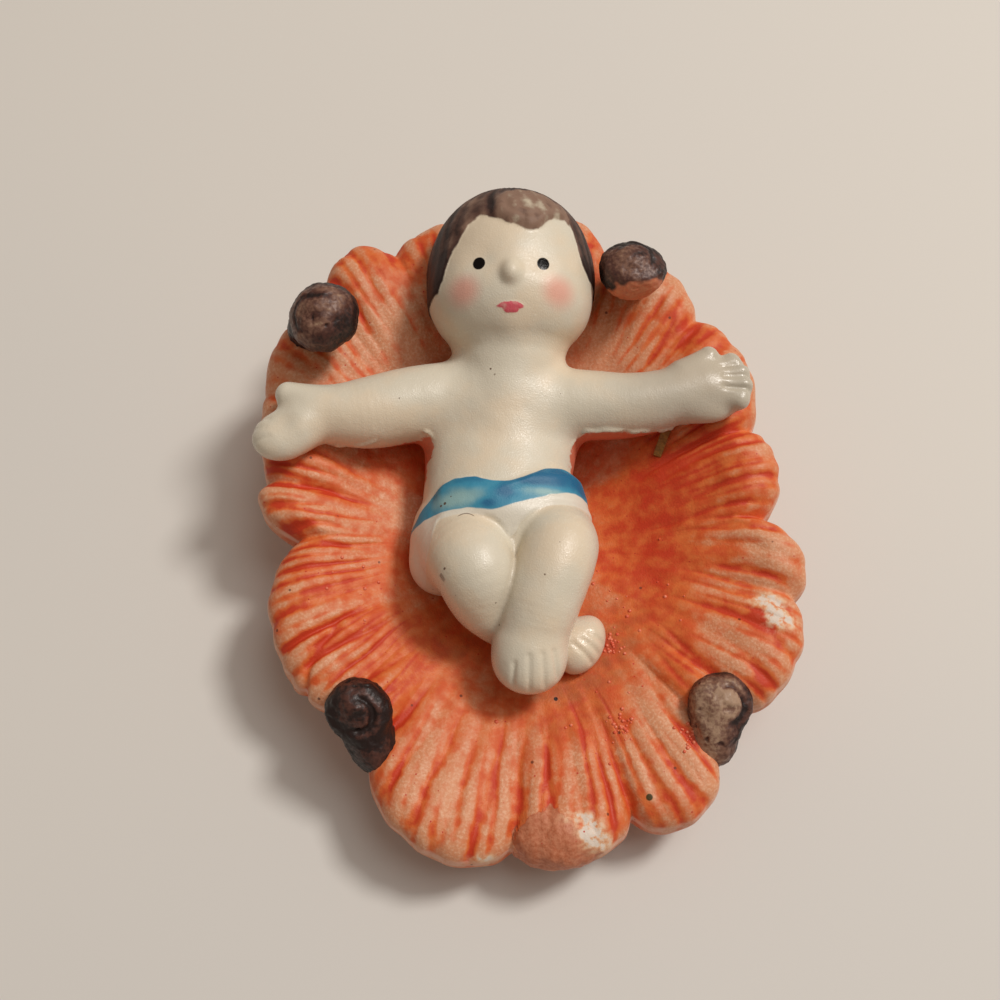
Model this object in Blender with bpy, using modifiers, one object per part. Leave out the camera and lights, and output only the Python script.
"""A small painted bisque figurine: a child with open arms lying on a lobed bed of straw.

The real thing is one slip casting, so this file makes one closed body. The bed is a ball
whose rings are bent into a dish with a rolled rim of lobes and flutes. The child is a set
of balls and tapered tubes fused by a remesh. Four log ends grow out of the rim.
Everything is in metres, with +Z up, +Y towards the child's head and the origin at the
middle of the flat underside.
"""
import math

import bmesh
import bpy
from mathutils import Matrix, Vector

MM = 0.001
FULL_TURN = 360               # degrees

# The bed of straw. Its outline is an ellipse that swells and pinches into lobes.
BED_LENGTH = 75.6 * MM
BED_WIDTH = 58.6 * MM
BASE_LENGTH = 56.0 * MM
BASE_WIDTH = 42.0 * MM
RIM_HEIGHT_AT_FOOT = 10.0 * MM
RIM_HEIGHT_AT_HEAD = 19.6 * MM
DISH_FLOOR_HEIGHT = 7.0 * MM
DISH_FLOOR_SHARE = 0.22       # flat middle of the dish, as a share of the way to the crest
DISH_CLIMB_END = 1.12         # where the slope would level off, past the crest at 1
LIP_WIDTH = 4.2 * MM          # from the crest of the rim out to its widest line
LIP_DROP = 3.2 * MM           # from the crest down to that line
LIP_TUCK = 50.0               # degrees that the lip rolls on under its widest line
NOTCH_DROP = 1.3 * MM         # how far the crest dips between two lobes
FLUTE_DEPTH = 0.36 * MM
FLUTE_ARC = 8.0               # degrees that one flute takes of its lobe, about

# Each lobe: the angle of the notch where it starts, in degrees anticlockwise from +X,
# how far that notch lies outside the ellipse, and how far the lobe's crown does.
LOBE_UNIT = 1.0 * MM
LOBES = (
    (-7, -1.9, 0.2),
    (16, -1.0, 0.9),
    (44, -1.8, 2.5),
    (66, -0.8, 1.3),
    (87, -0.5, 1.3),
    (108, -0.4, 3.9),
    (126, 1.8, 3.2),
    (148, 1.5, 1.3),
    (167, -0.4, 0.2),
    (182, -3.2, 0.9),
    (222, -2.0, -1.0),
    (233, -1.6, 0.9),
    (263, -1.6, -0.5),
    (281, -2.2, 1.3),
    (303, -0.7, 2.3),
    (335, 0.4, 1.1),
)

# The child. Its pose and proportions are shares of its length: the numbers in the lists
# below are sixtieths of it, as (across, along towards the head, up) from its middle.
CHILD_LENGTH = 60.0 * MM
CHILD_TURN = -6.5             # degrees about +Z that the child lies askew in the bed
CHILD_OFF_CENTRE = (-2.3 * MM, -2.0 * MM)
CHILD_AXIS_ABOVE_DISH = 5.5   # sixtieths

PALM = (22.4, 16.8, 5.4)
LEFT_FOOT = (2.4, -14.6, -0.4)
RIGHT_FOOT = (8.3, -12.3, -3.2)

BALLS = (
    # middle, half sizes across, along and up, degrees turned about +Z, degrees pitched
    ((-0.6, 11.8, 0.2), (8.9, 7.6, 6.3), 0, 0),       # chest
    ((-0.2, 15.4, 1.6), (7.6, 5.0, 5.6), 0, 0),       # shoulders
    ((-0.9, 4.4, 0.2), (8.4, 8.0, 6.5), 0, 0),        # belly
    ((-0.2, -1.4, -0.8), (10.1, 5.6, 5.7), -6, 0),    # hips
    ((0.1, 31.4, 7.4), (9.0, 9.2, 9.0), 0, 0),        # skull
    ((0.1, 32.0, 5.6), (9.5, 9.3, 8.2), 0, 0),        # hair
    ((0.1, 26.4, 9.2), (8.5, 6.4, 7.0), 0, 0),        # cheeks and chin
    ((0.1, 24.6, 15.6), (1.0, 1.2, 1.0), 0, 0),       # nose
    ((1.2, 35.4, 14.8), (2.9, 2.0, 1.3), 10, -28),    # curl of hair on the brow
    ((-0.5, 1.0, -0.2), (9.8, 3.6, 6.9), -6, 0),      # loincloth
    ((-24.9, 9.6, 5.2), (3.7, 3.1, 2.3), 20, 0),      # right hand
    (PALM, (3.6, 3.4, 2.5), 10, 0),
    (LEFT_FOOT, (3.9, 3.2, 3.0), 0, -25),
    (RIGHT_FOOT, (2.3, 3.5, 2.4), -28, 0),
    ((-0.6, 7.6, -4.0), (7.0, 10.0, 3.6), 0, 0),      # straw that bears the back
    ((3.0, -10.5, -4.0), (5.0, 6.5, 3.6), 0, 0),      # straw that bears the shins
)

LIMBS = (
    # each point: across, along, up, half thickness
    ((0.0, 14.0, 1.6, 5.4), (0.1, 20.5, 4.4, 5.8)),
    ((-5.0, 15.4, 2.4, 4.6), (-9.5, 14.8, 3.3, 4.1), (-15.2, 13.2, 4.0, 3.7),
     (-20.0, 12.0, 4.7, 3.4), (-23.4, 10.8, 5.2, 3.0)),
    ((4.0, 15.2, 2.4, 4.6), (8.5, 15.5, 3.3, 4.1), (14.1, 15.4, 4.0, 3.7),
     (18.8, 15.9, 4.7, 3.2), (22.0, 16.5, 5.3, 3.0)),
    ((-22.3, 12.6, 5.8, 1.7), (-25.3, 14.0, 6.8, 1.3)),
    ((20.8, 18.4, 6.0, 1.7), (22.6, 20.4, 7.0, 1.1)),
    ((-5.4, -0.6, -0.6, 5.2), (-4.0, -5.2, 3.6, 4.7), (-2.5, -8.6, 1.2, 3.9),
     (1.5, -10.8, -1.8, 3.2), (6.2, -11.8, -3.0, 2.7)),
    ((5.2, -0.4, 0.2, 4.9), (5.7, -3.6, 3.7, 4.4), (4.2, -8.2, 2.8, 4.1),
     (2.9, -12.2, 1.0, 3.7)),
)

FINGER_TIPS = ((26.2, 19.3, 6.4), (27.1, 17.6, 6.6), (27.3, 15.9, 6.5), (26.7, 14.3, 6.2))
FINGER_HALF_THICKNESS = 1.05
TOES = 5
TOE_HALF_THICKNESS = 0.85
# Each row of toes: half its width, from the foot's middle to the toes, and their drop.
LEFT_TOES = ((2.9, 0.2, 0.0), (0.0, -2.8, 0.0), 1.0)
RIGHT_TOES = ((1.3, -1.0, 0.0), (1.8, 2.2, 0.0), 0.0)

# The log ends: angle in the rim, how far its middle lies inside the outline and stands
# above the crest there, and the half sizes of the knot.
KNOT_UNIT = 1.0 * MM
LOGS = (
    (133.0, 7.0, 5.6, (4.0, 4.0, 3.9)),
    (58.8, 6.9, 4.6, (3.4, 3.8, 3.2)),
    (226.5, 3.4, 2.0, (3.4, 3.7, 3.0)),
    (309.5, 4.4, 1.8, (3.9, 4.2, 3.0)),
)
LOG_HALF_THICKNESS = 2.7 * MM
LOG_FOOT_CLEARANCE = 0.5 * MM

# Fineness of the mesh. The cells that the fused shapes are rebuilt from follow their size.
SAMPLES_PER_FLUTE = 4
BED_RINGS = 14
DISH_RINGS = 8
LIP_RINGS = 3
CHILD_CELL = CHILD_LENGTH / 136
LOG_CELL = LOG_HALF_THICKNESS / 5
SMOOTHING_PASSES = 6
CHILD_TRIANGLES_KEPT = 0.055
LOG_TRIANGLES_KEPT = 0.055


def clear_scene():
    """Removes every object that the file opens with."""
    for thing in list(bpy.data.objects):
        bpy.data.objects.remove(thing, do_unlink=True)


def new_collection(name):
    """Makes a collection in the scene."""
    collection = bpy.data.collections.new(name)
    bpy.context.scene.collection.children.link(collection)
    return collection


def bisque_material():
    """Matte fired clay under thin paint."""
    material = bpy.data.materials.new("painted_bisque")
    material.use_nodes = True
    shader = material.node_tree.nodes["Principled BSDF"]
    shader.inputs["Base Color"].default_value = (0.80, 0.36, 0.18, 1.0)
    shader.inputs["Roughness"].default_value = 0.6
    shader.inputs["Metallic"].default_value = 0.0
    return material


def ellipse_reach(angle, length, width):
    """Distance from the middle of an ellipse to its edge, at an angle from +X."""
    across = math.cos(angle) / (width / 2)
    along = math.sin(angle) / (length / 2)
    return 1.0 / math.hypot(across, along)


def rim(index, share):
    """Angle, reach and crest height of the rim, at a share of the way round a lobe."""
    start, start_swell, crown = LOBES[index]
    end, end_swell, _ = LOBES[(index + 1) % len(LOBES)]
    if end < start:
        end += FULL_TURN
    angle = math.radians(start + (end - start) * share)
    fullness = 1.0 - abs(2 * share - 1) ** 2.4
    notch = start_swell + (end_swell - start_swell) * share
    swell = notch + (crown - (start_swell + end_swell) / 2) * fullness
    reach = ellipse_reach(angle, BED_LENGTH, BED_WIDTH) + swell * LOBE_UNIT
    along = reach * math.sin(angle) / BED_LENGTH + 0.5
    height = RIM_HEIGHT_AT_FOOT + (RIM_HEIGHT_AT_HEAD - RIM_HEIGHT_AT_FOOT) * along
    return angle, reach, height - NOTCH_DROP * (1 - fullness)


def rim_at(degrees):
    """The same, at an angle from +X."""
    starts = [lobe[0] for lobe in LOBES]
    degrees = (degrees - starts[0]) % FULL_TURN + starts[0]
    index = max(i for i, start in enumerate(starts) if start <= degrees)
    end = starts[index + 1] if index + 1 < len(starts) else starts[0] + FULL_TURN
    return rim(index, (degrees - starts[index]) / (end - starts[index]))


def smooth_step(value):
    """Eases from 0 to 1."""
    value = min(max(value, 0.0), 1.0)
    return value * value * (3 - 2 * value)


def bed_section(ring, angle, reach, crest):
    """Radius and height of one ring of the bed, from the dish's middle to the base's."""
    crest_radius = reach - LIP_WIDTH
    lip_height = crest - LIP_DROP
    if ring <= DISH_RINGS:
        share = math.sin(ring / DISH_RINGS * math.pi / 2)
        climb = smooth_step((share - DISH_FLOOR_SHARE) / (DISH_CLIMB_END - DISH_FLOOR_SHARE))
        full_climb = smooth_step((1 - DISH_FLOOR_SHARE) / (DISH_CLIMB_END - DISH_FLOOR_SHARE))
        depth = crest - DISH_FLOOR_HEIGHT
        return crest_radius * share, DISH_FLOOR_HEIGHT + depth * climb / full_climb
    lip_end = DISH_RINGS + LIP_RINGS
    if ring <= lip_end:
        roll = math.radians(90 - (90 + LIP_TUCK) * (ring - DISH_RINGS) / LIP_RINGS)
        return crest_radius + LIP_WIDTH * math.cos(roll), lip_height + LIP_DROP * math.sin(roll)
    if ring == BED_RINGS:
        return 0.0, 0.0
    tuck = math.radians(LIP_TUCK)
    wall_top = crest_radius + LIP_WIDTH * math.cos(tuck)
    wall_height = lip_height - LIP_DROP * math.sin(tuck)
    wall_foot = ellipse_reach(angle, BASE_LENGTH, BASE_WIDTH)
    share = (ring - lip_end) / (BED_RINGS - 1 - lip_end)
    bow = 1 - (1 - share) ** 1.5
    return wall_top + (wall_foot - wall_top) * bow, wall_height * (1 - share)


def flute(ring, turns):
    """Height of the fluting: none in the middle of the dish, full from mid slope to the lip."""
    rise = smooth_step((ring - 2) / 3)
    fall = 1 - smooth_step((ring - DISH_RINGS - 3) / 3)
    return -FLUTE_DEPTH * math.cos(2 * math.pi * turns) * rise * fall


def make_bed(collection):
    """Bends a ball's rings into the dish, rim, wall and flat base."""
    spokes = []
    for index, lobe in enumerate(LOBES):
        arc = (LOBES[(index + 1) % len(LOBES)][0] - lobe[0]) % FULL_TURN
        flutes = max(1, round(arc / FLUTE_ARC))
        samples = flutes * SAMPLES_PER_FLUTE
        spokes += [(index, place / samples, flutes) for place in range(samples)]
    ball = bmesh.new()
    bmesh.ops.create_uvsphere(ball, u_segments=len(spokes), v_segments=BED_RINGS, radius=1.0)
    for vertex in ball.verts:
        x, y, z = vertex.co
        ring = round(math.acos(max(-1.0, min(1.0, z))) / math.pi * BED_RINGS)
        spoke = round(math.atan2(y, x) / (2 * math.pi) * len(spokes)) % len(spokes)
        index, share, flutes = spokes[spoke]
        angle, reach, crest = rim(index, share)
        radius, height = bed_section(ring, angle, reach, crest)
        ridge = flute(ring, flutes * share)
        radius += ridge / 2
        if ring <= DISH_RINGS + 1:
            height += ridge
        vertex.co = (radius * math.cos(angle), radius * math.sin(angle), height)
    mesh = bpy.data.meshes.new("figurine")
    ball.to_mesh(mesh)
    ball.free()
    mesh.shade_smooth()
    bed = bpy.data.objects.new("figurine", mesh)
    collection.objects.link(bed)
    return bed


def add_ball(shape, middle, halves, turn=0.0, pitch=0.0):
    """Adds an ellipsoid to a bmesh."""
    place = (Matrix.Translation(Vector(middle))
             @ Matrix.Rotation(math.radians(turn), 4, "Z")
             @ Matrix.Rotation(math.radians(pitch), 4, "X")
             @ Matrix.Diagonal(Vector((*halves, 1.0))))
    bmesh.ops.create_uvsphere(shape, u_segments=32, v_segments=16, radius=1.0, matrix=place)


def add_limb(shape, points):
    """Adds a tapered tube through points, with a ball at each joint."""
    for start, end in zip(points, points[1:]):
        near, far = Vector(start[:3]), Vector(end[:3])
        run = far - near
        place = (Matrix.Translation((near + far) / 2)
                 @ run.to_track_quat("Z", "Y").to_matrix().to_4x4())
        bmesh.ops.create_cone(shape, cap_ends=True, segments=32, radius1=start[3], radius2=end[3],
                              depth=run.length, matrix=place)
    for point in points:
        add_ball(shape, point[:3], (point[3],) * 3)


def add_toes(shape, foot, across, along, drop):
    """Adds a row of toes: a fan of balls at the foot's end, the last ones smaller."""
    for toe in range(TOES):
        side = toe / (TOES - 1) * 2 - 1
        middle = Vector(foot) + Vector(along) * (1 - 0.18 * side * side) + Vector(across) * side
        middle.z -= drop
        add_ball(shape, middle, (TOE_HALF_THICKNESS * (1 - 0.1 * abs(side)),) * 3)


def fuse(collection, name, shape, cell, kept):
    """Turns overlapping shapes into one soft skin with few triangles."""
    mesh = bpy.data.meshes.new(name)
    shape.to_mesh(mesh)
    shape.free()
    thing = bpy.data.objects.new(name, mesh)
    collection.objects.link(thing)
    skin = thing.modifiers.new("skin", "REMESH")
    skin.mode = "VOXEL"
    skin.voxel_size = cell
    skin.use_smooth_shade = True
    soften = thing.modifiers.new("soften", "SMOOTH")
    soften.factor = 0.5
    soften.iterations = SMOOTHING_PASSES
    thin = thing.modifiers.new("thin", "DECIMATE")
    thin.ratio = kept
    return thing


def make_child(collection):
    """Builds the child in sixtieths of its length, then places it in the dish."""
    shape = bmesh.new()
    for middle, halves, turn, pitch in BALLS:
        add_ball(shape, middle, halves, turn, pitch)
    for points in LIMBS:
        add_limb(shape, points)
    for tip in FINGER_TIPS:
        root = Vector(PALM).lerp(Vector(tip), 0.3)
        add_limb(shape, ((*root, FINGER_HALF_THICKNESS), (*tip, FINGER_HALF_THICKNESS)))
    add_toes(shape, LEFT_FOOT, *LEFT_TOES)
    add_toes(shape, RIGHT_FOOT, *RIGHT_TOES)
    unit = CHILD_LENGTH / 60
    middle = (*CHILD_OFF_CENTRE, DISH_FLOOR_HEIGHT + CHILD_AXIS_ABOVE_DISH * unit)
    place = (Matrix.Translation(Vector(middle))
             @ Matrix.Rotation(math.radians(CHILD_TURN), 4, "Z")
             @ Matrix.Scale(unit, 4))
    bmesh.ops.transform(shape, matrix=place, verts=shape.verts)
    return fuse(collection, "child", shape, CHILD_CELL, CHILD_TRIANGLES_KEPT)


def make_log(collection, number, degrees, inside, above, halves):
    """A knot above the rim, and its log running down the outside wall."""
    angle, reach, crest = rim_at(degrees)
    outward = Vector((math.cos(angle), math.sin(angle), 0.0))
    knot = outward * (reach - inside * KNOT_UNIT) + Vector((0, 0, crest + above * KNOT_UNIT))
    bend = outward * (reach - LOG_HALF_THICKNESS * 1.2)
    bend.z = crest - LIP_DROP
    foot = outward * ellipse_reach(angle, BASE_LENGTH, BASE_WIDTH)
    foot.z = LOG_FOOT_CLEARANCE + LOG_HALF_THICKNESS
    shape = bmesh.new()
    add_ball(shape, knot, [half * KNOT_UNIT for half in halves], turn=math.degrees(angle))
    add_limb(shape, [(*point, LOG_HALF_THICKNESS) for point in (knot, bend, foot)])
    return fuse(collection, "log_%d" % number, shape, LOG_CELL, LOG_TRIANGLES_KEPT)


def hide_helper(thing):
    """Marks an object as one that only shapes another."""
    thing.hide_render = True
    thing.display_type = "WIRE"


def main():
    clear_scene()
    parts = new_collection("baby_figurine")
    helpers = new_collection("helpers")
    bed = make_bed(parts)
    bed.data.materials.append(bisque_material())
    grown = [make_child(helpers)]
    for number, log in enumerate(LOGS, start=1):
        grown.append(make_log(helpers, number, *log))
    for thing in grown:
        join = bed.modifiers.new("join_" + thing.name, "BOOLEAN")
        join.operation = "UNION"
        join.solver = "EXACT"
        join.object = thing
        hide_helper(thing)


main()
